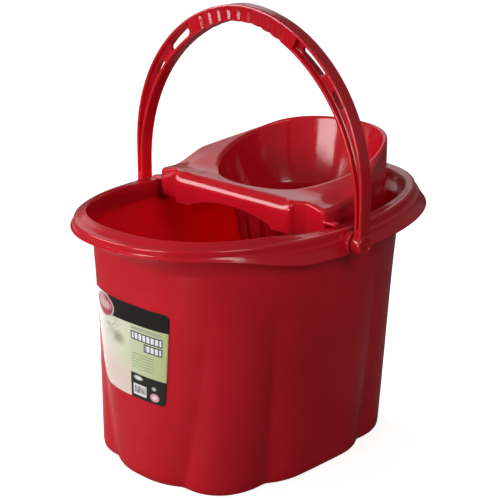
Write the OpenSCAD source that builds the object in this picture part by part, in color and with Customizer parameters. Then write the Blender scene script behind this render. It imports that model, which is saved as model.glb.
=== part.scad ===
// Oval mop bucket with a lift-out wringer and a swinging carry handle.
// Millimetres. +Z is up, +X points to the end that holds the wringer,
// the handle pivots sit on the two long sides (-Y and +Y).

/* [Bucket] */
// height of the rim above the floor
rim_h = 250; // [240:1:260]
// half width of the rim edge across the pivots
rim_w = 134; // [132:1:137]
// reach of the rim edge toward the pouring end
rim_front = 176; // [172:1:180]
// reach of the rim edge toward the wringer end
rim_back = 204; // [200:1:208]
// wall thickness of the bucket
wall = 2.6; // [2.2:0.1:3.2]
// depth of the valleys between the foot lobes
valley = 9; // [6:0.5:10]
// flare of the skirt at the wringer end
skirt_end = 16; // [12:0.5:18]
// flare of the skirt on the long sides
skirt_side = 5; // [4:0.5:5.5]

/* [Wringer] */
// radius of the funnel mouth
mouth_r = 82.5; // [80:0.5:84]
// outside radius of the raised hood
hood_r = 87.5; // [87:0.5:89]
// outside radius of the strainer at its top
strainer_top = 70; // [68:0.5:71]
// outside radius of the strainer at its foot
strainer_foot = 50; // [46:0.5:54]
// height of the strainer foot above the floor
strainer_z = 132; // [125:1:145]
// number of drain slots round the strainer
slots = 20; // [16:1:24]

/* [Handle] */
// width of the handle along the bucket
grip_w = 14.5; // [14:0.5:16]
// radius of the pivot pin
pin_r = 5; // [4.5:0.1:5.5]

/* [Label] */
// height of the lower edge of the adhesive label
label_z = 85; // [80:1:92]
// height of the adhesive label
label_h = 93; // [86:1:96]

/* [Hidden] */
bx = -21;                   // centre of the base
px = bx + 4;                // pivot line
pz = 237;                   // pivot height
base_l = 142;               // half length of the foot
base_w = 111;               // half width of the foot
na = 144;                   // points round each ring
wx = bx + 84;               // axis of the funnel
fx = bx - 18.4;             // front face of the wringer
deck = 268;                 // top of the wringer's front edge
slope = 0.275;              // rise of the wringer top toward the hood
pin_gap = 0.06;             // running clearance in the pivot bores
red = [0.78, 0.06, 0.12];

// ---------- bucket ----------
function sgn(v) = v < 0 ? -1 : 1;
function mixv(a, b, t) = a + (b - a) * t;
function smooth(t) = let (u = min(1, max(0, t))) u * u * (3 - 2 * u);
// closed oval: pf reach at -X, pb reach at +X, w half width, n fullness
function oval_r(a, pf, pb, w, n) =
    let (c = cos(a), s = sin(a), l = c > 0 ? pb : pf)
    1 / pow(pow(abs(c) / l, n) + pow(abs(s) / w, n), 1 / n);
// four foot lobes: two valleys in every quadrant, drifting as they climb
function fold(a) = let (m = abs(((a + 180) % 360) - 180)) m > 90 ? 180 - m : m;
function dip(a, at) = pow(max(0, 1 - abs(fold(a) - at) / 17), 2);
function groove(a) = dip(a, 20) + dip(a, 55);
// bearing of station a at height z, with the valleys on stations 20 and 55
function turn(m, z) = let (t = min(1, z / 205), p = 20 + 14 * pow(t, 0.75), q = 55 + 5 * t)
    m < 20 ? m * p / 20 : m < 55 ? p + (m - 20) * (q - p) / 35 : q + (m - 55) * (90 - q) / 35;
function bearing(a, z) = let (b = a % 360, m = turn(fold(a), z))
    b <= 90 ? m : b <= 180 ? 180 - m : b <= 270 ? 180 + m : 360 - m;
// rises toward the wringer end
function lift(p, k) = k * 5 * smooth((p[0] + 30) / 200);
// the inner edge of the rim climbs above the outer one toward the pouring end
function crest(p, z) = z < rim_h - 20 ? 0 : 5.5 * smooth((-p[0] - 10) / 80) * smooth((z - rim_h + 20) / 14);
// one ring: z, reach -X, reach +X, half width, fullness, valley depth, offset, skirt share, lift share, crest share
function ring(r) = [for (i = [0:na - 1])
    let (s = 360 * i / na, a = bearing(s, r[0]),
         fl = r[7] * mixv(cos(a) > 0 ? skirt_end : 0.5, skirt_side, pow(abs(sin(a)), cos(a) > 0 ? 1.8 : 0.8)),
         q = oval_r(a, r[1], r[2], r[3], r[4]) - r[5] * groove(s) + r[6] + fl,
         p = [bx + q * cos(a), q * sin(a)],
         z = r[7] > 0.1 ? rim_h - 4.8 + (r[0] - rim_h + 4.8) * mixv(0.24, 1, smooth((p[0] - bx + 140) / 100)) : r[0])
    [p[0], p[1], z + lift([p[0] - bx, p[1]], r[8]) + r[9] * crest([p[0] - bx, p[1]], z)]];
function wall_at(z) = let (t = (z - 8) / 207)
    [z, mixv(base_l, 143, t), mixv(base_l, 162, t), mixv(base_w, 122.5, t),
     mixv(3, 2.7, t), valley * pow(max(0, 1 - z / 205), 0.9), 0, 0, 0, 0];
function shrink(r, d) = [r[0], r[1], r[2], r[3], r[4], r[5], r[6] - d, r[7], r[8], r[9]];
function set_z(r, z) = [z, r[1], r[2], r[3], r[4], r[5], r[6], r[7], r[8], r[9]];
inner_edge = [rim_h - 1, rim_front - 15, rim_back - 14, 121, 2.35, 0, 0, 0, 1, 1];
neck = [232, 149, 174, 122.6, 2.6, 0, 0, 0, 0.5, 0];
rings = [
    shrink(set_z(wall_at(8), 0), 4.5),
    shrink(set_z(wall_at(8), 1.3), 1.8),
    shrink(set_z(wall_at(8), 4), 0.4),
    wall_at(8), wall_at(50), wall_at(95), wall_at(140), wall_at(180), wall_at(215),
    neck,
    [rim_h - 7, rim_front - 16, rim_back - 15, 122.8, 2.35, 0, 0.5, 0, 0.9, 0.85],
    [rim_h - 3.6, rim_front - 8, rim_back - 8, 128, 2.2, 0, 0, 0, 1, 0.5],
    [rim_h - 4.6, rim_front, rim_back, rim_w, 2.15, 0, -1.6, 0, 1, 0],
    [rim_h - 14, rim_front, rim_back, rim_w, 2.15, 0, -1.2, 0.45, 1, 0],
    [rim_h - 23, rim_front, rim_back, rim_w, 2.15, 0, -1.2, 0.98, 1, 0],
    [rim_h - 23.6, rim_front, rim_back, rim_w, 2.15, 0, 0.2, 1, 1, 0],
    [rim_h - 22.8, rim_front, rim_back, rim_w, 2.15, 0, 1.2, 1, 1, 0],
    [rim_h - 14, rim_front, rim_back, rim_w, 2.15, 0, 1.2, 0.52, 1, 0],
    [rim_h - 8.6, rim_front, rim_back, rim_w, 2.15, 0, 1.4, 0.3, 1, 0],
    [rim_h - 7.6, rim_front, rim_back, rim_w, 2.15, 0, 0.9, 0.12, 1, 0],
    [rim_h - 2, rim_front, rim_back, rim_w, 2.15, 0, 0.9, 0, 1, 0],
    [rim_h - 0.4, rim_front, rim_back, rim_w, 2.15, 0, 0, 0, 1, 0],
    [rim_h, rim_front, rim_back, rim_w, 2.15, 0, -1.8, 0, 1, 0],
    [rim_h - 0.6, rim_front - 8, rim_back - 8, 127.5, 2.2, 0, 0, 0, 1, 0.55],
    inner_edge,
    [rim_h - 3, rim_front - 16.5, rim_back - 15.5, 120.2, 2.35, 0, -0.6, 0, 1, 1],
    [rim_h - 8, rim_front - 18, rim_back - 17, 120, 2.4, 0, -0.9, 0, 0.9, 0.9],
    shrink(neck, wall), shrink(wall_at(215), wall), shrink(wall_at(180), wall),
    shrink(wall_at(140), wall), shrink(wall_at(95), wall), shrink(wall_at(50), wall),
    shrink(wall_at(8), wall),
    shrink(set_z(wall_at(8), 4.6), wall + 1.8),
    shrink(set_z(wall_at(8), 3), wall + 5.5)];

module loft(rr) {
    pts = [for (r = rr) each ring(r)];
    m = len(rr);
    side = [for (j = [0:m - 2]) for (i = [0:na - 1])
        let (k = (i + 1) % na, a = j * na + i, b = j * na + k, c = a + na, d = b + na)
        each [[a, c, d], [a, d, b]]];
    polyhedron(points = pts, faces = concat(side,
        [[for (i = [0:na - 1]) i]],
        [[for (i = [na - 1:-1:0]) (m - 1) * na + i]]));
}

module pivot_y(s) { translate([px, 0, pz]) rotate([s > 0 ? -90 : 90, 0, 0]) children(); }

module bucket() color(red) difference() {
    union() {
        loft(rings);
        for (s = [-1, 1]) pivot_y(s) translate([0, 0, 121.2]) cylinder(r = 10.5, h = 20.3, $fn = 72);
    }
    for (s = [-1, 1]) pivot_y(s) translate([0, 0, 126]) cylinder(r = pin_r + pin_gap, h = 20, $fn = 72);
}

// ---------- handle ----------
// flat band between two arches, as a 2D shape in the Y-Z plane
module disc2(r) circle(r = r, $fn = 180);
module outer_arch(g) intersection() {
    union() {
        for (s = [-1, 1]) intersection() { translate([-5 * s, 283]) disc2(159 - g); translate([s > 0 ? 0 : -200, 283]) square([200, 300]); }
        translate([-154 + g, 200]) square([308 - 2 * g, 84]);
    }
    translate([-200, 200]) square([400, 243.5 - g]);
}
module inner_arch(g) intersection() {
    union() {
        for (s = [-1, 1]) intersection() { translate([-21 * s, 262]) disc2(167 + g); translate([s > 0 ? 0 : -200, 262]) square([200, 300]); }
        translate([-146 - g, 150]) square([292 + 2 * g, 113]);
    }
    translate([-200, 100]) square([400, 325.5 + g]);
}
module sector(a0, a1, r) {
    n = 12;
    polygon(concat([[0, 285]], [for (i = [0:n]) let (a = a0 + (a1 - a0) * i / n) [r * sin(a), 285 + r * cos(a)]]));
}
module band(t0, t1) difference() { outer_arch(t0); inner_arch(t1); translate([-200, 100]) square([400, pz - 100]); }
module plate(w) rotate([90, 0, 90]) translate([0, 0, -w / 2]) linear_extrude(w) children();

module handle() color(red) translate([px, 0, 0]) difference() {
    union() {
        // outer and inner flanges
        plate(grip_w) difference() { band(0, 0); offset_gap(); }
        // web between the flanges
        plate(4) difference() { band(1, 1); windows(); }
        // hubs and pins
        for (s = [-1, 1]) translate([0, 0, pz]) rotate([s > 0 ? -90 : 90, 0, 0]) {
            translate([0, 0, 144.5]) cylinder(r = grip_w / 2 + 2.5, h = 10.5, $fn = 72);
            translate([0, 0, 127]) cylinder(r = pin_r, h = 19, $fn = 72);
        }
    }
    // finger grooves across the grip, on both faces
    for (k = [-4:4]) translate([0, 0, 285]) rotate([-k * 5.2, 0, 0]) for (s = [-1, 1])
        translate([s * (grip_w / 2 + 2.2), 0, 133]) cylinder(r = 4, h = 40, $fn = 36);
}
// hollow between the flanges, open to both faces, interrupted by the grip
module offset_gap() difference() {
    difference() { outer_arch(3.2); inner_arch(3.2); translate([-200, 100]) square([400, pz + 16 - 100]); }
    sector(-28.5, 28.5, 220);
}
// see-through windows either side of the grip
module windows() for (s = [-1, 1]) mirror([s < 0 ? 1 : 0, 0]) {
    intersection() { difference() { outer_arch(3.6); inner_arch(3.6); } sector(31.5, 45, 220); }
    intersection() { difference() { outer_arch(6); inner_arch(5); } sector(51.8, 59.5, 220); }
}

// ---------- wringer ----------
// outline of the collar, drawn from above
module collar2(g) {
    translate([fx + g, -80 + g]) square([wx - fx - g, 160 - 2 * g]);
    translate([bx - 7 + g, -113.5 + g]) square([57 - 2 * g, 227 - 2 * g]);
    intersection() {
        translate([wx, 0]) circle(r = hood_r - g, $fn = 180);
        translate([bx, -200]) square([300, 400]);
    }
    // shoulders that run from the wide part into the round hood
    for (s = [-1, 1]) polygon([[bx + 49 - g, s * (113.5 - g)], [bx + 49 - g, 0], [wx + 45, 0], [wx + 34, s * (79.5 - g)]]);
    // cheeks between the front panel and the wide part
    for (s = [-1, 1]) polygon([[fx + 6 + g, s * (80 - g)], [bx - 5 + g, s * (94 - g)], [bx, s * 60], [fx + 6 + g, s * 60]]);
}
// everything below the rising top surface, lowered by g
module under_top(g) rotate([90, 0, 0]) translate([0, 0, -150]) linear_extrude(300) polygon([
    [fx - 10, 100], [fx - 10, deck - g], [bx + (deck - 264) / slope, deck - g],
    [bx + 132, 264 + slope * 132 - g], [bx + 144, 302.6 - g], [bx + 155, 304 - g],
    [bx + 166, 304.6 - g], [bx + 230, 304.6 - g], [bx + 230, 100]]);
module rib_slots() for (k = [0:slots - 1]) rotate([0, 0, 360 * (k + 0.5) / slots])
    translate([strainer_foot - 14, -3.2, strainer_z + 12]) cube([40, 6.4, 84]);

module wringer() color(red) difference() {
    union() {
        // collar: a downward cup with a sloped top
        difference() {
            intersection() { translate([0, 0, 236]) linear_extrude(120) collar2(0); under_top(0); }
            intersection() { translate([0, 0, 200]) linear_extrude(160) collar2(3); under_top(3.4); }
        }
        // front panel legs
        translate([fx, -80, 236]) cube([3, 160, 24]);
        // round hood and funnel, one wall
        intersection() {
            translate([wx, 0, 0]) rotate_extrude($fn = 180) polygon([
                [strainer_foot - 14, strainer_z], [strainer_foot, strainer_z], [strainer_top, 234], [mouth_r + 2, 259],
                [hood_r, 264], [hood_r, 340], [mouth_r, 340], [mouth_r, 263],
                [strainer_top - 2.8, 233], [strainer_foot - 2.8, strainer_z + 3], [strainer_foot - 14, strainer_z + 3]]);
            under_top(0);
        }
        // strainer floor with a raised centre
        translate([wx, 0, strainer_z]) cylinder(r = strainer_foot - 1, h = 3, $fn = 180);
        // feet that rest on the rim
        for (s = [-1, 1]) for (u = [bx - 7, bx + 34])
            translate([u, s > 0 ? 112 : -126, rim_h + (u > bx ? 1.9 : 0.7)]) cube([8, 14, 3.4]);
    }
    // the mouth
    translate([wx, 0, 263]) cylinder(r = mouth_r, h = 120, $fn = 180);
    // arch in the front panel
    intersection() {
        translate([fx - 5, 0, 75.4]) rotate([0, 90, 0]) cylinder(r = 172.6, h = 12, $fn = 240);
        translate([fx - 5, -55, 205]) cube([12, 110, 55]);
    }
    // drain slots and floor holes
    translate([wx, 0, 0]) {
        rib_slots();
        for (k = [0:11]) rotate([0, 0, 30 * k]) translate([34, 0, strainer_z - 5]) cylinder(r = 4, h = 20, $fn = 36);
        for (k = [0:5]) rotate([0, 0, 60 * k + 30]) translate([18, 0, strainer_z - 5]) cylinder(r = 4, h = 20, $fn = 36);
    }
}

// ---------- label ----------
function skin(s, z, o) = let (r = wall_at(z), a = bearing(s, z),
    q = oval_r(a, r[1], r[2], r[3], r[4]) - r[5] * groove(s) + o) [bx + q * cos(a), q * sin(a), z];
module label() color([0.92, 0.92, 0.9]) {
    nu = 24; nv = 6;
    pts = [for (o = [0.35, 0.75]) for (j = [0:nv]) for (i = [0:nu]) skin(162 + 29 * i / nu, label_z + label_h * j / nv, o)];
    w = nu + 1; L = w * (nv + 1);
    polyhedron(points = pts, faces = concat(
        [for (j = [0:nv - 1]) for (i = [0:nu - 1]) let (a = j * w + i) each [[a, a + 1, a + w + 1], [a, a + w + 1, a + w]]],
        [for (j = [0:nv - 1]) for (i = [0:nu - 1]) let (a = L + j * w + i) each [[a, a + w + 1, a + 1], [a, a + w, a + w + 1]]],
        [for (i = [0:nu - 1]) each [[i, L + i, L + i + 1], [i, L + i + 1, i + 1]]],
        [for (i = [0:nu - 1]) let (a = nv * w + i) each [[a, L + a + 1, L + a], [a, a + 1, L + a + 1]]],
        [for (j = [0:nv - 1]) let (a = j * w) each [[a, L + a + w, L + a], [a, a + w, L + a + w]]],
        [for (j = [0:nv - 1]) let (a = j * w + nu) each [[a, L + a, L + a + w], [a, L + a + w, a + w]]]));
}

bucket();
handle();
wringer();
label();
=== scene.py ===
import math
import bpy
import bmesh
import numpy as np
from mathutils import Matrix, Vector


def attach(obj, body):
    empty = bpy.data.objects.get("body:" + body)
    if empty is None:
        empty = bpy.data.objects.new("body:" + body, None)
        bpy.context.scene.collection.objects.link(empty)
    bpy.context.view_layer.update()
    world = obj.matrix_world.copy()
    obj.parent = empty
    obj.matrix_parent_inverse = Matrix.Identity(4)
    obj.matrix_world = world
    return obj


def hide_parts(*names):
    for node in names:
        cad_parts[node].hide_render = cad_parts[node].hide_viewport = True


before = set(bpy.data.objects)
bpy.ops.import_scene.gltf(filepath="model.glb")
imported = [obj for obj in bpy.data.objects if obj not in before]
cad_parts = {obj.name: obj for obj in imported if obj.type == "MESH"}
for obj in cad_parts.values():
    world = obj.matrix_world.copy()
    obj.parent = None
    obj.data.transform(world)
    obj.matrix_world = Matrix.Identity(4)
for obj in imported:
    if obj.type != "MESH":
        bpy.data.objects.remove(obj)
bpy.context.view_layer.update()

MM = 0.001
BX, PX, PZ = -21.0, -17.0, 237.0
RIM, WALL = 250.0, 2.6
WX = BX + 84.0

# ------------------------------------------------------------------ helpers


def smooth(t):
    u = np.clip(t, 0, 1)
    return u * u * (3 - 2 * u)


def mix(a, b, t):
    return a + (b - a) * t


def build(name, verts, faces, body, mat, angle=35, uv=None, recalc=True):
    """One mesh piece from millimetre points, smooth shaded, sharp above the angle."""
    me = bpy.data.meshes.new(name)
    me.from_pydata((np.asarray(verts, float) * MM).tolist(), [], [tuple(int(i) for i in f) for f in faces])
    me.update()
    bm = bmesh.new()
    bm.from_mesh(me)
    bmesh.ops.remove_doubles(bm, verts=bm.verts, dist=2e-6)
    bmesh.ops.dissolve_degenerate(bm, dist=1e-6, edges=bm.edges)
    if recalc:
        bmesh.ops.recalc_face_normals(bm, faces=bm.faces)
    bm.to_mesh(me)
    bm.free()
    me.shade_smooth()
    me.set_sharp_from_angle(angle=math.radians(angle))
    ob = bpy.data.objects.new(name, me)
    bpy.context.scene.collection.objects.link(ob)
    me.materials.append(mat)
    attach(ob, body)
    return ob


def grid_faces(rows, cols, close_rows=False, close_cols=True, skip=None):
    out = []
    for j in range(rows if close_rows else rows - 1):
        jn = (j + 1) % rows
        for i in range(cols if close_cols else cols - 1):
            k = (i + 1) % cols
            if skip is not None and skip(j, i):
                continue
            out.append((j * cols + i, j * cols + k, jn * cols + k, jn * cols + i))
    return out


def revolve(profile, n, to_world):
    """A surface of revolution; a profile point at radius 0 becomes the pole."""
    pts, faces = [], []
    for r, h in profile:
        for i in range(n):
            a = 2 * math.pi * i / n
            pts.append(to_world(r * math.cos(a), r * math.sin(a), h))
    faces = grid_faces(len(profile), n)
    return pts, faces


def join(objs, name):
    bpy.ops.object.select_all(action="DESELECT")
    for o in objs:
        o.select_set(True)
    bpy.context.view_layer.objects.active = objs[0]
    bpy.ops.object.join()
    objs[0].name = name
    return objs[0]


# ---------------------------------------------------------------- materials


class Nodes:
    def __init__(self, name):
        self.mat = bpy.data.materials.new(name)
        self.mat.use_nodes = True
        self.t = self.mat.node_tree
        self.bsdf = self.t.nodes["Principled BSDF"]

    def new(self, kind, **kw):
        n = self.t.nodes.new(kind)
        for k, v in kw.items():
            setattr(n, k, v)
        return n

    def link(self, a, b):
        self.t.links.new(a, b)

    def feed(self, sock, v):
        if isinstance(v, bpy.types.NodeSocket):
            self.link(v, sock)
        else:
            sock.default_value = v

    def math(self, op, a, b=0.0, c=None, clamp=False):
        n = self.new("ShaderNodeMath", operation=op, use_clamp=clamp)
        self.feed(n.inputs[0], a)
        self.feed(n.inputs[1], b)
        if c is not None:
            self.feed(n.inputs[2], c)
        return n.outputs[0]

    def noise(self, vec, scale, detail=3.0, rough=0.5, distort=0.0):
        n = self.new("ShaderNodeTexNoise")
        self.link(vec, n.inputs["Vector"])
        n.inputs["Scale"].default_value = scale
        n.inputs["Detail"].default_value = detail
        n.inputs["Roughness"].default_value = rough
        n.inputs["Distortion"].default_value = distort
        return n.outputs["Fac"]

    def ramp(self, fac, stops):
        n = self.new("ShaderNodeValToRGB")
        e = n.color_ramp.elements
        while len(e) < len(stops):
            e.new(0.5)
        for k, (p, c) in enumerate(stops):
            e[k].position = p
            e[k].color = (*c, 1) if len(c) == 3 else c
        self.link(fac, n.inputs[0])
        return n.outputs[0]

    def span(self, fac, lo, hi, a, b):
        n = self.new("ShaderNodeMapRange", clamp=True)
        self.feed(n.inputs[0], fac)
        for k, v in zip((1, 2, 3, 4), (lo, hi, a, b)):
            self.feed(n.inputs[k], v)
        return n.outputs[0]

    def mixc(self, fac, a, b):
        n = self.new("ShaderNodeMix", data_type="RGBA")
        self.feed(n.inputs["Factor"], fac)
        for k, v in ((6, a), (7, b)):
            if isinstance(v, bpy.types.NodeSocket):
                self.link(v, n.inputs[k])
            else:
                n.inputs[k].default_value = (*v, 1)
        return n.outputs[2]


def red_plastic(name, deep, bright, rough=(0.16, 0.27), seed=0.0, grain=0.5):
    """Glossy moulded polypropylene: flow variation, orange peel, fine rub marks, paler convex edges that are partly
    rubbed wear and partly a painted edge highlight.
    """
    m = Nodes(name)
    co = m.new("ShaderNodeTexCoord")
    mp = m.new("ShaderNodeMapping")
    mp.inputs["Location"].default_value = (seed, seed * 0.7, seed * 1.3)
    m.link(co.outputs["Object"], mp.inputs["Vector"])
    v = mp.outputs["Vector"]
    flow = m.noise(v, 9.0, 4.0, 0.55, 0.6)
    cloud = m.noise(v, 38.0, 3.0, 0.5)
    base = m.mixc(m.span(flow, 0.32, 0.68, 0, 1), deep, bright)
    geo = m.new("ShaderNodeNewGeometry")
    # convex edges paled toward pink: partly rubbed wear, partly a painted edge highlight
    edge = m.span(geo.outputs["Pointiness"], 0.515, 0.60, 0.0, 0.30)
    edge_wear_and_sheen = m.math("MULTIPLY", edge, m.span(cloud, 0.35, 0.65, 0.45, 1.0))
    base = m.mixc(edge_wear_and_sheen, base, (0.80, 0.075, 0.105))
    m.link(base, m.bsdf.inputs["Base Color"])
    # long thin rub marks, two directions
    marks = None
    for k, (sc, rot) in enumerate((((14, 900, 900), (0.3, 0.5, 0.9)), ((900, 18, 700), (0.9, 0.2, -0.4)))):
        mm = m.new("ShaderNodeMapping")
        mm.inputs["Scale"].default_value = sc
        mm.inputs["Rotation"].default_value = rot
        m.link(v, mm.inputs["Vector"])
        s = m.span(m.noise(mm.outputs["Vector"], 1.0, 2.0, 0.6), 0.66, 0.74, 0.0, 1.0)
        marks = s if marks is None else m.math("MAXIMUM", marks, s)
    patch = m.span(m.noise(v, 16.0, 2.0, 0.5), 0.50, 0.66, 0.0, 1.0)
    marks = m.math("MULTIPLY", marks, patch)
    r = m.span(cloud, 0.3, 0.7, rough[0], rough[1])
    r = m.math("ADD", r, m.math("MULTIPLY", marks, 0.16))
    r = m.math("ADD", r, m.math("MULTIPLY", edge, 0.12), clamp=True)
    m.link(r, m.bsdf.inputs["Roughness"])
    b1 = m.new("ShaderNodeBump")
    b1.inputs["Strength"].default_value = 0.30 * grain
    b1.inputs["Distance"].default_value = 0.0012
    m.link(m.noise(v, 55.0, 2.0, 0.5), b1.inputs["Height"])
    b2 = m.new("ShaderNodeBump")
    b2.inputs["Strength"].default_value = 0.16 * grain
    b2.inputs["Distance"].default_value = 0.0002
    m.link(m.noise(v, 650.0, 2.0, 0.6), b2.inputs["Height"])
    m.link(b1.outputs[0], b2.inputs["Normal"])
    b3 = m.new("ShaderNodeBump")
    b3.inputs["Strength"].default_value = 0.25
    b3.inputs["Distance"].default_value = 0.00004
    m.link(m.math("MULTIPLY", marks, -1.0), b3.inputs["Height"])
    m.link(b2.outputs[0], b3.inputs["Normal"])
    m.link(b3.outputs[0], m.bsdf.inputs["Normal"])
    m.bsdf.inputs["IOR"].default_value = 1.5
    m.bsdf.inputs["Specular IOR Level"].default_value = 0.5
    m.bsdf.inputs["Subsurface Weight"].default_value = 0.5
    m.bsdf.inputs["Subsurface Radius"].default_value = (1.0, 0.10, 0.10)
    m.bsdf.inputs["Subsurface Scale"].default_value = 0.006
    return m.mat


RED_B = red_plastic("bucket_red_pp", (0.54, 0.0060, 0.016), (0.64, 0.0085, 0.022), (0.12, 0.21), 0.0, 0.7)
RED_W = red_plastic("wringer_red_pp", (0.58, 0.0065, 0.018), (0.68, 0.0095, 0.025), (0.08, 0.15), 3.1, 0.5)
RED_H = red_plastic("handle_red_pp", (0.50, 0.0055, 0.014), (0.60, 0.0085, 0.020), (0.12, 0.20), 7.7, 0.8)

# ------------------------------------------------------------------- bucket
# ring: z, reach -X, reach +X, half width, fullness, valley, offset, skirt, lift, crest


def oval_r(c, s, pf, pb, w, n):
    l = np.where(c > 0, pb, pf)
    return 1 / ((np.abs(c) / l) ** n + (np.abs(s) / w) ** n) ** (1 / n)


def fold(a):
    m = np.abs(((a + 180) % 360) - 180)
    return np.where(m > 90, 180 - m, m)


def dip(a, at):
    d = np.sqrt((fold(a) - at) ** 2 + 1.6 ** 2) - 1.0
    return np.maximum(0, 1 - d / 17) ** 2


def groove(a):
    return dip(a, 20) + dip(a, 55)


def bearing(a, z):
    t = min(1.0, max(0.0, z / 205))
    p, q = 20 + 14 * t ** 0.75, 55 + 5 * t
    m = fold(a)
    m2 = np.where(m < 20, m * p / 20, np.where(m < 55, p + (m - 20) * (q - p) / 35, q + (m - 55) * (90 - q) / 35))
    b = a % 360
    return np.where(b <= 90, m2, np.where(b <= 180, 180 - m2, np.where(b <= 270, 180 + m2, 360 - m2)))


def wall_at(z):
    t = (z - 8) / 207
    return [z, mix(142, 143, t), mix(142, 162, t), mix(111, 122.5, t), mix(3, 2.7, t),
            9 * max(0, 1 - z / 205) ** 0.9, 0, 0, 0, 0]


def shrink(r, d):
    r = list(r)
    r[6] -= d
    return r


def set_z(r, z):
    r = list(r)
    r[0] = z
    return r


NA = 512
ST = np.arange(NA) * 360.0 / NA


def ring(r, st=ST):
    a = np.radians(bearing(st, r[0]))
    c, s = np.cos(a), np.sin(a)
    fl = r[7] * mix(np.where(c > 0, 16.0, 0.5), 5.0, np.abs(s) ** np.where(c > 0, 1.8, 0.8))
    q = oval_r(c, s, r[1], r[2], r[3], r[4]) - r[5] * groove(st) + r[6] + fl
    x, y = q * c, q * s
    x = np.where(x < -170, -170 + (x + 170) * 0.97, x)
    z = np.full(len(st), float(r[0]))
    k = smooth(np.array(r[7] / 0.12))
    z = mix(z, RIM - 4.8 + (r[0] - RIM + 4.8) * mix(0.24, 1.0, smooth((x + 140) / 100)), k)
    z = z + r[8] * 5 * smooth((x + 30) / 200)
    if r[9] > 0:
        z = z + r[9] * 5.5 * smooth((-x - 10) / 80)
    return np.stack([BX + x, y, z], -1)


def corner_cut(rows, times):
    rows = np.array(rows, float)
    for _ in range(times):
        a, b = rows[:-1], rows[1:]
        rows = np.concatenate([rows[:1], np.stack([0.75 * a + 0.25 * b, 0.25 * a + 0.75 * b], 1).reshape(-1, rows.shape[1]), rows[-1:]])
    return rows


neck = [232, 149, 174, 122.6, 2.6, 0, 0, 0, 0.5, 0]
foot = [shrink(set_z(wall_at(8), 0), 5.5), shrink(set_z(wall_at(8), 0), 4.2), shrink(set_z(wall_at(8), 0.9), 2.2),
        shrink(set_z(wall_at(8), 3), 0.7), wall_at(8)]
walls = [wall_at(z) for z in np.linspace(9.5, 214, 42)]
rim = [wall_at(214), wall_at(221), neck,
       [RIM - 8.5, 158.5, 187.5, 122.7, 2.4, 0, 0.2, 0, 0.85, 0.5],
       [RIM - 4.6, 162, 191, 124.2, 2.35, 0, 0, 0, 1, 0.8],
       [RIM - 3.4, 167.5, 195.5, 127.8, 2.2, 0, 0, 0, 1, 0.5],
       [RIM - 3.6, 174, 202, 132.4, 2.15, 0, -1.8, 0, 1, 0.05],
       [RIM - 6.0, 176, 204, 134, 2.15, 0, -1.6, 0.0, 1, 0],
       [RIM - 14, 176, 204, 134, 2.15, 0, -1.2, 0.45, 1, 0],
       [RIM - 21.5, 176, 204, 134, 2.15, 0, -1.2, 0.90, 1, 0],
       [RIM - 23.2, 176, 204, 134, 2.15, 0, -1.1, 0.98, 1, 0],
       [RIM - 23.6, 176, 204, 134, 2.15, 0, -0.1, 1, 1, 0],
       [RIM - 23.5, 176, 204, 134, 2.15, 0, 0.9, 1, 1, 0],
       [RIM - 22.6, 176, 204, 134, 2.15, 0, 1.25, 1, 1, 0],
       [RIM - 20.5, 176, 204, 134, 2.15, 0, 1.2, 0.88, 1, 0],
       [RIM - 14, 176, 204, 134, 2.15, 0, 1.2, 0.52, 1, 0],
       [RIM - 9.6, 176, 204, 134, 2.15, 0, 1.3, 0.34, 1, 0],
       [RIM - 8.6, 176, 204, 134, 2.15, 0, 1.3, 0.29, 1, 0],
       [RIM - 8.1, 176, 204, 134, 2.15, 0, 0.7, 0.20, 1, 0],
       [RIM - 7.6, 176, 204, 134, 2.15, 0, 0.5, 0.14, 1, 0],
       [RIM - 6.9, 176, 204, 134, 2.15, 0, 0.8, 0.08, 1, 0],
       [RIM - 5.0, 176, 204, 134, 2.15, 0, 0.9, 0.0, 1, 0],
       [RIM - 1.6, 176, 204, 134, 2.15, 0, 0.9, 0.0, 1, 0],
       [RIM - 0.3, 176, 204, 134, 2.15, 0, 0.1, 0.0, 1, 0],
       [RIM, 176, 204, 134, 2.15, 0, -1.6, 0, 1, 0],
       [RIM - 0.1, 173.5, 201.5, 131.8, 2.16, 0, -1.6, 0, 1, 0.12],
       [RIM - 0.6, 168, 196, 127.5, 2.2, 0, 0, 0, 1, 0.55],
       [RIM - 0.9, 163.5, 192.5, 123.0, 2.3, 0, 0, 0, 1, 0.9],
       [RIM - 0.6, 162.0, 191.0, 121.9, 2.33, 0, 0, 0, 1, 1],
       [RIM - 0.6, 161.2, 190.2, 121.1, 2.35, 0, 0, 0, 1, 1],
       [RIM - 1.4, 160.5, 189.5, 120.6, 2.35, 0, 0, 0, 1, 1],
       [RIM - 4.5, 159.2, 188.2, 120.0, 2.35, 0, -0.4, 0, 1, 0.97],
       [RIM - 9, 157.5, 186.5, 119.8, 2.4, 0, -0.9, 0, 0.85, 0.8],
       shrink([236, 152, 178, 122.0, 2.5, 0, 0, 0, 0.6, 0.2], WALL), shrink(neck, WALL), shrink(wall_at(221), WALL), shrink(wall_at(214), WALL)]
inner = [shrink(wall_at(z), WALL) for z in np.linspace(213, 14, 36)]
base = [shrink(wall_at(9), WALL), shrink(set_z(wall_at(8), 5.2), WALL + 1.2), shrink(set_z(wall_at(8), 3.4), WALL + 3.4),
        shrink(set_z(wall_at(8), 3), WALL + 7)]
rows = np.concatenate([corner_cut(foot, 2), walls, corner_cut(rim, 3), inner, corner_cut(base, 2)])
P = np.stack([ring(r) for r in rows])
mid = np.array([BX, 0, 0])


def inward(row, k, z):
    p = mid + (row - mid) * np.array([k, k, 0])
    p[:, 2] = z
    return p


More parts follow.
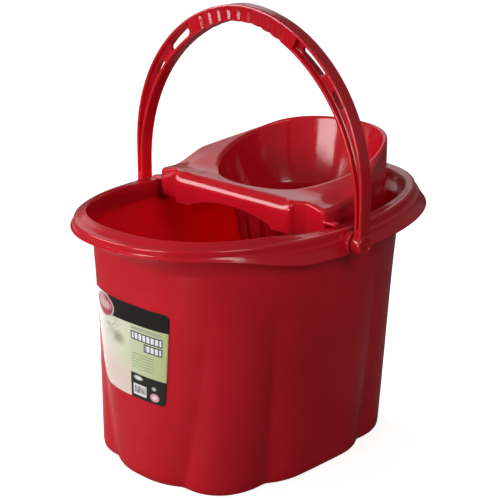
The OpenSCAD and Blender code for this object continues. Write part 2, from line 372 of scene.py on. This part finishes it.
under = [inward(P[0], k, z) for k, z in ((0.0, 1.5), (0.07, 1.5), (0.085, 1.1), (0.10, 1.5), (0.35, 1.5), (0.62, 1.5), (0.90, 1.5), (0.935, 1.4), (0.95, 0.7), (0.958, 0.12), (0.972, 0.0))]
floor_in = [inward(P[-1], k, z) for k, z in ((0.93, 3.0), (0.80, 3.0), (0.78, 3.5), (0.55, 3.6), (0.3, 3.6), (0.12, 3.6), (0.0, 3.6))]
P = np.concatenate([np.stack(under), P, np.stack(floor_in)])
bucket = build("bucket_shell", P.reshape(-1, 3), grid_faces(len(P), NA), "bucket_body", RED_B, 50)
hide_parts("bucket")

boss_profile = [(0, 126), (5.06, 126), (5.06, 140.9), (5.5, 141.4), (6.2, 141.5), (9.3, 141.5), (10.0, 141.3), (10.4, 140.8), (10.5, 140.0), (10.5, 120)]
for s, nm in ((-1, "near"), (1, "far")):
    v, f = revolve(boss_profile, 72, lambda a, b, h: (PX + a, s * h, PZ + b))
    o = build("bucket_pivot_boss_" + nm, v, f, "bucket_body", RED_B, 40)

# ------------------------------------------------------------------ wringer


def zt0(x):
    return np.interp(x, [-60, 14.5, 132, 144, 155, 166, 240], [268, 268, 300.3, 302.6, 304, 304.6, 304.6])


def top_z(u, v):
    """Height of the wringer's top at u, v measured from the funnel axis."""
    x = np.asarray(u) + 84
    z = np.mean([zt0(x + k) for k in np.linspace(-7, 7, 9)], axis=0)
    droop = 3.2 * smooth((np.abs(v) - 88) / 24) * (1 - smooth((x - 15) / 45))
    return z - droop - 0.05


def fillet(points, radii, seg=7):
    out = [points[0]]
    for k in range(1, len(points) - 1):
        p0, p1, p2 = (np.array(points[j], float) for j in (k - 1, k, k + 1))
        d0, d1 = (p0 - p1) / np.linalg.norm(p0 - p1), (p2 - p1) / np.linalg.norm(p2 - p1)
        half = math.acos(np.clip(d0 @ d1, -1, 1)) / 2
        cut = radii[k] / math.tan(half)
        a, b = p1 + d0 * cut, p1 + d1 * cut
        for t in np.linspace(0, 1, seg):
            out.append(tuple((1 - t) ** 2 * a + 2 * t * (1 - t) * p1 + t * t * b))
    out.append(points[-1])
    return out


half = fillet([(-102.4, 0), (-102.4, 80), (-96.6, 80), (-91, 90.2), (-91, 113.5), (-34, 113.5), (30, 82.2), (34, 80.6)],
              [0, 4.5, 1.6, 1.6, 5.0, 22, 1.0, 0])
line = [np.array(half[0])]
for p in half[1:]:
    p = np.array(p, float)
    n = max(1, int(np.ceil(np.linalg.norm(p - line[-1]) / 2.2)))
    a = line[-1]
    for t in np.arange(1, n + 1) / n:
        line.append(a + (p - a) * t)
line = [p for p in line if not (abs(p[0] + 102.4) < 0.01 and 53.6 < p[1] < 56.4)]
line += [np.array([-102.4, v]) for v in (53.8, 54.3, 54.7, 55.0, 55.3, 55.7, 56.2)]
line.sort(key=lambda p: -math.atan2(p[1], p[0]))
a0 = math.atan2(80.6, 34)
line += [np.array([87.5 * math.cos(a), 87.5 * math.sin(a)]) for a in np.linspace(a0, 0, 60)[1:]]
half = np.array(line)
OUT = np.concatenate([half, (half * [1, -1])[1:-1][::-1]])
NW = len(OUT)
tan = np.roll(OUT, -1, 0) - np.roll(OUT, 1, 0)
nor = np.stack([tan[:, 1], -tan[:, 0]], -1)
nor /= np.linalg.norm(nor, axis=1)[:, None]
RO = np.linalg.norm(OUT, axis=1)
DIR = OUT / RO[:, None]
cosp = np.abs((nor * DIR).sum(1))
cosp = np.clip(cosp, 0.45, 1)
# edge radius round the outline
front = smooth((-OUT[:, 0] - 96) / 5) * smooth((84 - np.abs(OUT[:, 1])) / 9)
hood = smooth((OUT[:, 0] - 10) / 40)
wing = smooth((np.abs(OUT[:, 1]) - 100) / 10)
re = 3.2 + 9.3 * front + 1.2 * wing * (1 - hood) - 1.1 * hood
for _ in range(4):
    re = (np.roll(re, 1) + re + np.roll(re, -1)) / 3
rm = 2.3 + 2.2 * (1 - smooth((OUT[:, 0] + 20) / 60))
# lower edge of the skirt
v = np.abs(OUT[:, 1])
low = np.full(NW, 236.0)
onf = OUT[:, 0] < -99.5
arch = 75.4 + np.sqrt(np.maximum(0, 172.6 ** 2 - v ** 2))
low = np.where(onf, mix(arch, 236.3, smooth((v - 54.2) / 1.6)), low)


def inset(d):
    return OUT - DIR * (np.minimum(d / cosp, RO - 84.4))[:, None]


def at(pts, z):
    return np.stack([WX + pts[:, 0], pts[:, 1], z], -1)


def polar(r):
    return DIR * np.asarray(r)[..., None] if np.ndim(r) else DIR * r


rc = np.minimum(85.0, RO - 3.25)
deep_in = inset(3.0)
R3 = np.linalg.norm(deep_in, axis=1)
rc = np.minimum(rc, R3 - 0.15)
R = []
for d, dz in ((3.0, 0.6), (2.5, 0.1), (1.5, 0.0), (0.5, 0.1), (0.0, 0.6), (0.0, 2.0)):
    R.append(at(inset(d), low + dz))
wall_top = top_z(OUT[:, 0], OUT[:, 1]) - re
for t in (0.12, 0.3, 0.5, 0.7, 0.85, 0.95):
    R.append(at(OUT, mix(low + 2, wall_top, t)))
for ph in np.radians(np.linspace(0, 90, 10)):
    q = inset(re * (1 - math.cos(ph)))
    R.append(at(q, top_z(q[:, 0], q[:, 1]) - re * (1 - math.sin(ph))))
edge_r = np.linalg.norm(inset(re), axis=1)
mouth_r = 82.5 + rm
for t in np.linspace(0, 1, 14)[1:]:
    q = polar(mix(edge_r, np.minimum(mouth_r, edge_r), t))
    R.append(at(q, top_z(q[:, 0], q[:, 1])))
for ph in np.radians(np.linspace(0, 90, 7))[1:]:
    q = polar(82.5 + rm * (1 - math.sin(ph)))
    q = np.where((np.linalg.norm(q, axis=1) > edge_r)[:, None], polar(edge_r), q)
    R.append(at(q, top_z(q[:, 0], q[:, 1]) - rm * (1 - math.cos(ph))))
ring_top = R[-1][:, 2].copy()
for t in np.linspace(0, 1, 17)[1:]:
    rr = 82.5 - 15.4 * (0.55 * t + 0.45 * t * t)
    R.append(at(polar(rr), mix(ring_top, 231.5, t)))
R.append(at(polar(67.0), np.full(NW, 229.0)))
for r, z in ((67.3, 228.3), (68.4, 228.0), (69.4, 228.3), (69.7, 229), (69.95, 236.0)):
    R.append(at(polar(r), np.full(NW, z)))
R.append(at(polar(rc - 1.2), np.full(NW, 253.8)))
R.append(at(polar(rc), np.full(NW, 256.0)))
thick = smooth((RO - 88.5) / 6)
q = polar(rc)
zu0 = mix(262.0, top_z(q[:, 0], q[:, 1]) - 3.4, thick)
R.append(at(q, zu0))
for t in (0.33, 0.66, 1.0):
    q = polar(mix(rc, R3, t))
    zu = mix(262.0, np.minimum(top_z(q[:, 0], q[:, 1]), top_z(OUT[:, 0], OUT[:, 1]) - re * 0.12) - 3.4, thick)
    R.append(at(q, zu))
R.append(at(deep_in, mix(low + 0.6, zu, 0.5)))
R = np.stack(R)
wringer = build("wringer_collar", R.reshape(-1, 3), grid_faces(len(R), NW, close_rows=True), "wringer_body", RED_W, 42)
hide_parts("wringer")

# strainer: a tapered tube with rounded slots
NS, COLS = 20, 14
zs = [236, 232, 229.4, 228.6, 227.9, 226.8, 225] + list(np.linspace(215, 158, 8)) + [147.5, 145.6, 144.5, 143.8, 143.0, 139, 135.2, 133.6, 132.6, 132.1]
wide = {228.6: 0.0, 227.9: 0.62, 226.8: 0.92, 145.6: 0.92, 144.5: 0.62, 143.8: 0.0}
pts, hole = [], set()
for j, z in enumerate(zs):
    r = 50 + 20 * (z - 132) / 104
    if z < 134:
        r = 50 + 20 * (max(z, 133.9) - 132) / 104 - 1.8 * (1 - math.sqrt(max(0, 1 - ((133.9 - z) / 1.9) ** 2)))
    w = wide.get(z, 1.0 if 143.8 < z < 228.6 else 0.35)
    w = max(w, 0.18)
    h = 3.2 / r * w
    sector = 2 * math.pi / NS
    for k in range(NS):
        c = sector * (k + 0.5)
        cols = [c - h, c - h / 3, c + h / 3, c + h] + [c + h + (sector - 2 * h) * i / (COLS - 3) for i in range(1, COLS - 3)]
        for a in cols:
            pts.append((WX + r * math.cos(a), r * math.sin(a), z))
top_j, bot_j = zs.index(228.6), zs.index(143.8)
faces = grid_faces(len(zs), NS * COLS, skip=lambda j, i: top_j <= j < bot_j and i % COLS in (0, 1, 2))
strainer = build("wringer_strainer", pts, faces, "wringer_body", RED_W, 60)
so = strainer.modifiers.new("wall", "SOLIDIFY")
so.thickness, so.offset = 0.0028, -1
be = strainer.modifiers.new("edges", "BEVEL")
be.width, be.segments, be.limit_method, be.angle_limit = 0.0006, 2, "ANGLE", math.radians(50)

# strainer floor with round drain holes
cu = bpy.data.curves.new("floor_curve", "CURVE")
cu.dimensions, cu.fill_mode = "2D", "BOTH"


def circle(cx, cy, r, n):
    sp = cu.splines.new("POLY")
    sp.points.add(n - 1)
    for i in range(n):
        a = 2 * math.pi * i / n
        sp.points[i].co = ((cx + r * math.cos(a)) * MM, (cy + r * math.sin(a)) * MM, 0, 1)
    sp.use_cyclic_u = True


circle(0, 0, 48.2, 120)
for k in range(12):
    circle(34 * math.cos(math.radians(30 * k)), 34 * math.sin(math.radians(30 * k)), 4.3, 28)
for k in range(6):
    circle(18 * math.cos(math.radians(60 * k + 30)), 18 * math.sin(math.radians(60 * k + 30)), 4.3, 28)
cu.extrude, cu.bevel_depth, cu.bevel_resolution = 0.0011, 0.0004, 2
co = bpy.data.objects.new("floor_curve", cu)
bpy.context.scene.collection.objects.link(co)
dg = bpy.context.evaluated_depsgraph_get()
me = bpy.data.meshes.new_from_object(co.evaluated_get(dg))
bpy.data.objects.remove(co)
bm = bmesh.new()
bm.from_mesh(me)
bmesh.ops.remove_doubles(bm, verts=bm.verts, dist=1e-6)
bmesh.ops.translate(bm, verts=bm.verts, vec=(WX * MM, 0, 0.1336))
bmesh.ops.recalc_face_normals(bm, faces=bm.faces)
bm.to_mesh(me)
bm.free()
me.shade_smooth()
me.set_sharp_from_angle(angle=math.radians(35))
me.materials.clear()
me.materials.append(RED_W)
fl = bpy.data.objects.new("wringer_strainer_floor", me)
bpy.context.scene.collection.objects.link(fl)
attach(fl, "wringer_body")


def rounded_block(name, lo, hi, r, body, mat):
    bm = bmesh.new()
    bmesh.ops.create_cube(bm, size=1.0)
    lo, hi = np.array(lo) * MM, np.array(hi) * MM
    for vv in bm.verts:
        vv.co = Vector([(lo[k] + hi[k]) / 2 + vv.co[k] * (hi[k] - lo[k]) for k in range(3)])
    bmesh.ops.bevel(bm, geom=bm.edges[:], offset=r * MM, segments=4, profile=0.5, affect="EDGES")
    me = bpy.data.meshes.new(name)
    bm.to_mesh(me)
    bm.free()
    me.shade_smooth()
    me.materials.append(mat)
    o = bpy.data.objects.new(name, me)
    bpy.context.scene.collection.objects.link(o)
    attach(o, body)
    return o


for s, nm in ((-1, "near"), (1, "far")):
    for u, tag, z0 in ((-7, "a", 250.75), (34, "b", 251.95)):
        y0, y1 = sorted((s * 110.8, s * 125.9))
        rounded_block("wringer_foot_%s_%s" % (nm, tag), (BX + u + 0.1, y0, z0), (BX + u + 7.9, y1, z0 + 3.2), 1.2, "wringer_body", RED_W)

# ------------------------------------------------------------------- handle


def soft_min(a, b, k=1.2):
    return -np.log(np.exp(-k * (a - b)) + 1) / k + b if abs(a - b) < 25 else min(a, b)


def arch_pts(alpha):
    """Outer and inner points of the bail on a ray from (0, 285), alpha in degrees from the top, positive half."""
    a = math.radians(abs(alpha))
    sn, cs = math.sin(a), math.cos(a)
    b = 5 * sn + 2 * cs
    to = -b + math.sqrt(b * b - (29 - 159 ** 2))
    b = 21 * sn + 23 * cs
    ti = -b + math.sqrt(b * b - (21 ** 2 + 23 ** 2 - 167 ** 2))
    if cs > 0.3:
        to = soft_min(to, 158.5 / cs)
        ti = soft_min(ti, 140.5 / cs)
    sg = 1 if alpha >= 0 else -1
    return (sg * to * sn, 285 + to * cs), (sg * ti * sn, 285 + ti * cs)


stations = []   # (outer, inner, alpha or None, z)
legs = [236.5, 240, 244, 248, 252.6, 253.3, 256, 260, 265, 270, 275, 280]
for z in legs:
    yi = 146 if z <= 262 else -21 + math.sqrt(167 ** 2 - (z - 262) ** 2)
    stations.append(((154, z), (yi, z), None, z))
angs = set(np.round(np.arange(0, 90.01, 0.7), 3))
WIN = ((31.5, 45.2), (51.8, 59.5))
for lo, hi in WIN:
    angs = {a for a in angs if not (lo - 0.4 < a < hi + 0.4)}
    for t in np.linspace(-1, 1, 17):
        angs.add(round((lo + hi) / 2 + (hi - lo) / 2 * math.sin(t * math.pi / 2), 3))
angs = {a for a in angs if not (27.9 < a < 29.4)} | {27.9, 28.5, 28.75, 29.4}
angs = sorted(angs, reverse=True)
up = [(*arch_pts(a), a, None) for a in angs]
stations += up
full = stations + [((-o[0], o[1]), (-i[0], i[1]), (None if a is None else -a), z) for o, i, a, z in stations[:-1][::-1]]
secs, win_rows = [], []
for o, i, al, z in full:
    o, i = np.array(o), np.array(i)
    D = np.linalg.norm(i - o)
    nrm = (i - o) / D
    aa = None if al is None else abs(al)
    solid = (aa is not None and aa < 28.6) or (z is not None and z < 253)
    xo, xg = 7.25, 7.25
    if aa is not None and aa < 25:
        k = round(al / 5.2)
        if abs(k) <= 4:
            dist = abs(al - 5.2 * k) * math.pi / 180 * 149
            if dist < 4:
                xg -= max(0.0, math.sqrt(16 - dist * dist) - 2.2)
    xw = xg if solid else 2.1
    f = min(3.2, D * 0.33)
    e = min(1.3, (D - 2 * f) * 0.3)
    na_, nb_ = mix(f + e, D - f - e, 0.34), mix(f + e, D - f - e, 0.66)
    w = 0
    if aa is not None:
        for q, (lo, hi) in enumerate(WIN):
            if lo - 1e-6 <= aa <= hi + 1e-6:
                t = (aa - (lo + hi) / 2) / ((hi - lo) / 2)
                hm = (D / 2 - 3.9) if q == 0 else (D / 2 - 5.0)
                hh = max(0.12, max(0.6, hm) * (max(0, 1 - abs(t) ** 3.2)) ** 0.5)
                na_, nb_, w = D / 2 - hh, D / 2 + hh, q + 1
    win_rows.append(w)
    wr = min(1.2, xo - xw)
    xi = xg if solid else xo
    side = [(0, 0), (0, 3.4), (0, xo - 1.3), (0.38, xo - 0.38), (1.3, xo), (f - 0.8, xo), (f - 0.22, xo - min(0.22, xo - xw)),
            (f, xo - min(0.85, xo - xw)), (f, xw + wr), (f + 0.3 * e, xw + 0.3 * wr), (f + e, xw), (na_, xw), (nb_, xw),
            (D - f - e, xw), (D - f - 0.3 * e, xw + (0 if solid else 0.3 * wr)), (D - f, xw + (0 if solid else wr)), (D - f, xi - min(0.85, xi - xw)),
            (D - f + 0.22, xi - min(0.22, xi - xw)), (D - f + 0.8, xi), (D - 1.3, xi), (D - 0.38, xi - 0.38), (D, xi - 1.3), (D, 3.4), (D, 0)]
    ringp = [(n, x) for n, x in side] + [(n, -x) for n, x in side[1:-1][::-1]]
    secs.append([(PX + x, *(o + nrm * n)) for n, x in ringp])
NP, H = len(secs[0]), len(side)
IA, IB = 11, 12
JA, JB = NP - IA, NP - IB
flat = [p for s_ in secs for p in s_]
faces = []
for s_ in range(len(secs) - 1):
    open_ = win_rows[s_] and win_rows[s_ + 1]
    for i in range(NP):
        k = (i + 1) % NP
        if open_ and (i == IA or i == JB):
            continue
        faces.append((s_ * NP + i, s_ * NP + k, (s_ + 1) * NP + k, (s_ + 1) * NP + i))
    if open_:
        for a_, b_ in ((IA, JA), (IB, JB)):
            faces.append((s_ * NP + a_, s_ * NP + b_, (s_ + 1) * NP + b_, (s_ + 1) * NP + a_))
    for e_ in (s_, s_ + 1):
        other = s_ - 1 if e_ == s_ else s_ + 2
        if open_ and not win_rows[other]:
            faces.append((e_ * NP + IA, e_ * NP + IB, e_ * NP + JB, e_ * NP + JA))
faces.append(tuple(range(NP)))
faces.append(tuple(range((len(secs) - 1) * NP, len(secs) * NP)))
handle = build("handle_bail", flat, faces, "handle_body", RED_H, 38)
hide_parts("handle")
hub_profile = [(0, 127), (4.3, 127), (4.8, 127.2), (5.0, 127.8), (5.0, 144.5), (8.9, 144.5), (9.5, 144.75), (9.75, 145.4),
               (9.75, 152.9), (9.55, 154.0), (8.9, 154.75), (8.0, 155.0), (6.6, 155.0), (6.2, 154.85), (5.9, 154.4), (5.5, 154.2), (0, 154.2)]
for s, nm in ((-1, "near"), (1, "far")):
    vv, ff = revolve(hub_profile, 72, lambda a, b, h: (PX + a, s * h, PZ + b))
    build("handle_hub_" + nm, vv, ff, "handle_body", RED_H, 40)

# -------------------------------------------------------------------- label


def label_material():
    m = Nodes("label_print")
    tc = m.new("ShaderNodeTexCoord")
    sep = m.new("ShaderNodeSeparateXYZ")
    m.link(tc.outputs["UV"], sep.inputs[0])
    u, v_ = sep.outputs[0], sep.outputs[1]

    def between(s, a, b, soft=0.002):
        return m.math("MULTIPLY", m.span(s, a - soft, a + soft, 0, 1), m.span(s, b - soft, b + soft, 1, 0))

    def rect(u0, u1, v0, v1, s=0.002):
        return m.math("MULTIPLY", between(u, u0, u1, s), between(v_, v0, v1, s))

    def disc(cu_, cv, ru, rv, s=0.06):
        a = m.math("DIVIDE", m.math("SUBTRACT", u, cu_), ru)
        b = m.math("DIVIDE", m.math("SUBTRACT", v_, cv), rv)
        d = m.math("SQRT", m.math("ADD", m.math("MULTIPLY", a, a), m.math("MULTIPLY", b, b)))
        return m.span(d, 1 - s, 1 + s, 1, 0)

    obj = tc.outputs["UV"]
    n1 = m.noise(obj, 4.0, 3.0, 0.5)
    n2 = m.noise(obj, 16.0, 4.0, 0.6, 1.2)
    col = m.ramp(m.math("ADD", u, m.math("MULTIPLY", m.math("SUBTRACT", n1, 0.5), 0.35)),
                 [(0.0, (0.93, 0.92, 0.88)), (0.25, (0.86, 0.86, 0.74)), (0.5, (0.74, 0.79, 0.58)), (0.8, (0.60, 0.66, 0.36)), (1.0, (0.55, 0.62, 0.30))])
    # blurred household picture: pale pink and grey-green patches
    col = m.mixc(m.math("MULTIPLY", disc(0.34, 0.16, 0.34, 0.20, 0.7), 0.65), col, (0.88, 0.62, 0.60))
    col = m.mixc(m.math("MULTIPLY", disc(0.30, 0.66, 0.10, 0.13, 0.8), m.span(n2, 0.42, 0.62, 0.0, 0.75)), col, (0.30, 0.31, 0.24))
    col = m.mixc(m.math("MULTIPLY", disc(0.40, 0.58, 0.07, 0.05, 0.6), 0.55), col, (0.10, 0.10, 0.08))
    col = m.mixc(m.math("MULTIPLY", disc(0.22, 0.40, 0.16, 0.2, 0.8), m.span(n2, 0.35, 0.65, 0.0, 0.35)), col, (0.80, 0.72, 0.50))
    # panels
    col = m.mixc(rect(0.555, 1.1, 0.27, 0.79), col, m.mixc(m.span(u, 0.55, 1.0, 0, 1), (0.66, 0.73, 0.50), (0.52, 0.58, 0.28)))
    line = m.math("SINE", m.math("MULTIPLY", v_, 210.0))
    words = m.math("MULTIPLY", m.span(line, 0.0, 0.5, 0, 1), m.span(m.noise(obj, 60.0, 2.0, 0.7), 0.42, 0.5, 0, 1))
    col = m.mixc(m.math("MULTIPLY", rect(0.58, 0.86, 0.33, 0.50), m.math("MULTIPLY", words, 0.55)), col, (0.12, 0.16, 0.08))
    col = m.mixc(rect(0.58, 0.93, 0.745, 0.775), col, (0.42, 0.46, 0.36))
    # generic white blocks with a dark edge
    for a, b, c, d in ((0.575, 0.945, 0.635, 0.725), (0.735, 0.945, 0.535, 0.622)):
        col = m.mixc(rect(a, b, c, d), col, (0.03, 0.03, 0.035))
        teeth = m.math("SINE", m.math("MULTIPLY", u, 130.0))
        col = m.mixc(m.math("MULTIPLY", rect(a + 0.012, b - 0.012, c + 0.012, d - 0.012), m.span(teeth, -0.75, -0.45, 0.15, 1.0)), col, (0.90, 0.91, 0.94))
    # dark lower panel, stripes and a round mark
    col = m.mixc(rect(0.555, 1.1, -0.1, 0.27), col, m.mixc(n1, (0.010, 0.013, 0.009), (0.026, 0.030, 0.022)))
    bars = m.math("SINE", m.math("MULTIPLY", u, 330.0))
    col = m.mixc(rect(0.585, 0.765, 0.035, 0.155), col, (0.84, 0.84, 0.82))
    col = m.mixc(m.math("MULTIPLY", rect(0.60, 0.75, 0.06, 0.14), m.span(m.math("ADD", bars, m.span(n2, 0.3, 0.7, -0.8, 0.8)), -0.1, 0.1, 0, 1)), col, (0.03, 0.03, 0.03))
    col = m.mixc(disc(0.655, 0.225, 0.055, 0.022, 0.3), col, (0.80, 0.80, 0.76))
    col = m.mixc(disc(0.87, 0.07, 0.055, 0.045, 0.08), col, (0.82, 0.36, 0.42))
    col = m.mixc(disc(0.87, 0.07, 0.028, 0.022, 0.3), col, (0.90, 0.80, 0.80))
    col = m.mixc(disc(0.86, 0.165, 0.026, 0.02, 0.2), col, (0.50, 0.52, 0.48))
    # dark band along the top
    slant = m.math("SUBTRACT", v_, m.math("MULTIPLY", u, 0.02))
    col = m.mixc(m.math("MULTIPLY", between(slant, 0.785, 1.3), m.span(u, 0.20, 0.30, 0, 1)), col, m.mixc(n1, (0.004, 0.004, 0.004), (0.011, 0.010, 0.009)))
    # round badge: pale rim, red disc, a broken pale stripe across it
    col = m.mixc(disc(0.20, 0.87, 0.158, 0.122, 0.03), col, (0.62, 0.55, 0.53))
    col = m.mixc(disc(0.20, 0.87, 0.142, 0.110, 0.04), col, m.mixc(m.span(n2, 0.35, 0.65, 0, 1), (0.42, 0.02, 0.04), (0.55, 0.09, 0.12)))
    stripe = m.math("MULTIPLY", disc(0.20, 0.875, 0.105, 0.050, 0.25), m.span(m.math("SINE", m.math("MULTIPLY", u, 150.0)), -0.6, 0.0, 0.25, 1.0))
    col = m.mixc(stripe, col, (0.74, 0.66, 0.66))
    col = m.mixc(m.math("MULTIPLY", disc(0.15, 0.945, 0.06, 0.022, 0.5), 0.7), col, (0.78, 0.72, 0.70))
    m.link(col, m.bsdf.inputs["Base Color"])
    m.link(m.span(n2, 0.3, 0.7, 0.30, 0.46), m.bsdf.inputs["Roughness"])
    b = m.new("ShaderNodeBump")
    b.inputs["Strength"].default_value = 0.25
    b.inputs["Distance"].default_value = 0.0006
    m.link(m.noise(tc.outputs["Object"], 45.0, 3.0, 0.5), b.inputs["Height"])
    m.link(b.outputs[0], m.bsdf.inputs["Normal"])
    m.bsdf.inputs["Specular IOR Level"].default_value = 0.35
    m.bsdf.inputs["Coat Weight"].default_value = 0.12
    m.bsdf.inputs["Coat Roughness"].default_value = 0.18
    return m.mat


def skin(s, z, o):
    r = wall_at(z)
    s = np.atleast_1d(np.asarray(s, float))
    a = np.radians(bearing(s, z))
    c, sn = np.cos(a), np.sin(a)
    q = oval_r(c, sn, r[1], r[2], r[3], r[4]) - r[5] * groove(s) + o
    return np.stack([BX + q * c, q * sn, np.full(len(s), z)], -1)


NU, NV = 72, 60
Z0, Z1, S0, S1 = 85.0, 178.0, 162.0, 191.0
length = np.linalg.norm(np.diff(skin(np.linspace(S0, S1, 200), 130, 0.6), axis=0), axis=1).sum()
lv, uvs = [], []
for j in range(NV + 1):
    t = j / NV
    t = 0.5 - 0.5 * math.cos(math.pi * t)
    h = t * (Z1 - Z0)

    def corner(rad_lo, rad_hi):
        d = 0.0
        if h < rad_lo:
            d = rad_lo - math.sqrt(rad_lo ** 2 - (rad_lo - h) ** 2)
        if Z1 - Z0 - h < rad_hi:
            g = Z1 - Z0 - h
            d = rad_hi - math.sqrt(rad_hi ** 2 - (rad_hi - g) ** 2)
        return d

    left, right = corner(22.0, 6.0), corner(5.0, 5.0)
    uu = np.linspace(left / length, 1 - right / length, NU + 1)
    row = skin(mix(S0, S1, uu), Z0 + h, 0.66)
    lv += row.tolist()
    uvs += [(x, t) for x in uu]
faces = grid_faces(NV + 1, NU + 1, close_cols=False)
me = bpy.data.meshes.new("label_film")
me.from_pydata((np.array(lv) * MM).tolist(), [], faces)
me.update()
layer = me.uv_layers.new(name="UVMap")
for lp in me.loops:
    layer.data[lp.index].uv = uvs[lp.vertex_index]
bm = bmesh.new()
bm.from_mesh(me)
bm.normal_update()
if sum(f.normal.x for f in bm.faces) > 0:
    bmesh.ops.reverse_faces(bm, faces=bm.faces)
bm.to_mesh(me)
bm.free()
me.shade_smooth()
me.materials.append(label_material())
label = bpy.data.objects.new("label_film", me)
bpy.context.scene.collection.objects.link(label)
so = label.modifiers.new("film", "SOLIDIFY")
so.thickness, so.offset = 0.0002, -1
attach(label, "bucket_body")
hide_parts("label")

# --------------------------------------------------------- stage, light, eye
fm = Nodes("studio_floor")
fc = fm.new("ShaderNodeTexCoord")
fn = fm.noise(fc.outputs["Object"], 1.5, 2.0, 0.5)
lp = fm.new("ShaderNodeLightPath")
fm.link(fm.mixc(lp.outputs["Is Camera Ray"], (0.16, 0.155, 0.155), fm.mixc(fn, (0.60, 0.60, 0.60), (0.63, 0.63, 0.63))),
        fm.bsdf.inputs["Base Color"])
fm.bsdf.inputs["Roughness"].default_value = 0.6
fm.bsdf.inputs["Specular IOR Level"].default_value = 0.15
fm.bsdf.inputs["Emission Color"].default_value = (1, 1, 1, 1)
away = fm.new("ShaderNodeVectorMath", operation="LENGTH")
fm.link(fc.outputs["Object"], away.inputs[0])
glow = fm.span(away.outputs["Value"], 0.30, 1.3, 0.80, 1.0)
fm.link(fm.math("MULTIPLY", lp.outputs["Is Camera Ray"], glow), fm.bsdf.inputs["Emission Strength"])
me = bpy.data.meshes.new("studio_floor")
me.from_pydata([(-9, -9, -0.0004), (9, -9, -0.0004), (9, 9, -0.0004), (-9, 9, -0.0004)], [], [(0, 1, 2, 3)])
me.materials.append(fm.mat)
stage = bpy.data.objects.new("studio_floor", me)
bpy.context.scene.collection.objects.link(stage)

world = bpy.data.worlds.new("studio")
world.use_nodes = True
bpy.context.scene.world = world
wt = world.node_tree
bg = wt.nodes["Background"]
bg.inputs[0].default_value = (1.0, 1.0, 1.0, 1)
bg.inputs[1].default_value = 0.17
bpy.context.scene.view_settings.view_transform = "Standard"

az, el = math.radians(-45.39), math.radians(17.99)
back = Vector((math.sin(az) * math.cos(el), -math.cos(az) * math.cos(el), math.sin(el)))
right = Vector((math.cos(az), math.sin(az), 0))
upv = back.cross(right)
target = Vector((-0.021, 0, 0.14)) + right * 0.0074 + upv * 0.056
cam_d = bpy.data.cameras.new("camera")
cam = bpy.data.objects.new("camera", cam_d)
bpy.context.scene.collection.objects.link(cam)
cam.location = target + back * 1.3569
cam.rotation_mode = "QUATERNION"
cam.rotation_quaternion = (-back).to_track_quat("-Z", "Y")
cam_d.sensor_width = 36.0
cam_d.lens = 1344.4 / 500 * 36.0
cam_d.clip_start, cam_d.clip_end = 0.05, 50
bpy.context.scene.camera = cam


def area(name, loc, aim, size, power, color=(1, 1, 1), size_y=None):
    d = bpy.data.lights.new(name, "AREA")
    d.shape = "RECTANGLE"
    d.size, d.size_y = size, size_y or size
    d.energy, d.color = power, color
    o = bpy.data.objects.new(name, d)
    bpy.context.scene.collection.objects.link(o)
    o.location = loc
    o.rotation_mode = "QUATERNION"
    o.rotation_quaternion = (Vector(aim) - Vector(loc)).to_track_quat("-Z", "Y")
    return o


base_c = Vector((-0.02, 0, 0.15))
left_d = -right


def stand(name, l, bk, up_, size, power, color=(1, 1, 1), size_y=None, aim=(-0.02, 0, 0.18)):
    """A soft light placed by metres to the left, toward the viewer, and up."""
    flat = Vector((back.x, back.y, 0)).normalized()
    return area(name, base_c + left_d * l + flat * bk + Vector((0, 0, up_)), aim, size, power, color, size_y)


stand("key_left", 1.50, 0.05, 0.66, 0.9, 13.5, (1, 0.985, 0.97), 0.60)
stand("key_front_left", 1.05, 1.15, 0.24, 0.80, 8.5, (1, 0.985, 0.98), 0.36)
stand("back_soft", 0.30, -1.45, 0.80, 1.4, 2.0, (1, 1, 1), 0.6)
stand("front_fill", -0.60, 1.35, 1.00, 0.6, 6.5, (1, 0.99, 0.98), 0.6)
low_glow = stand("far_side_glow", 0.28, -0.40, -0.04, 0.32, 6, (1, 0.95, 0.93), 0.20, (0.0, 0.1, 0.11))
low_glow.visible_camera = False
low_glow.visible_glossy = False
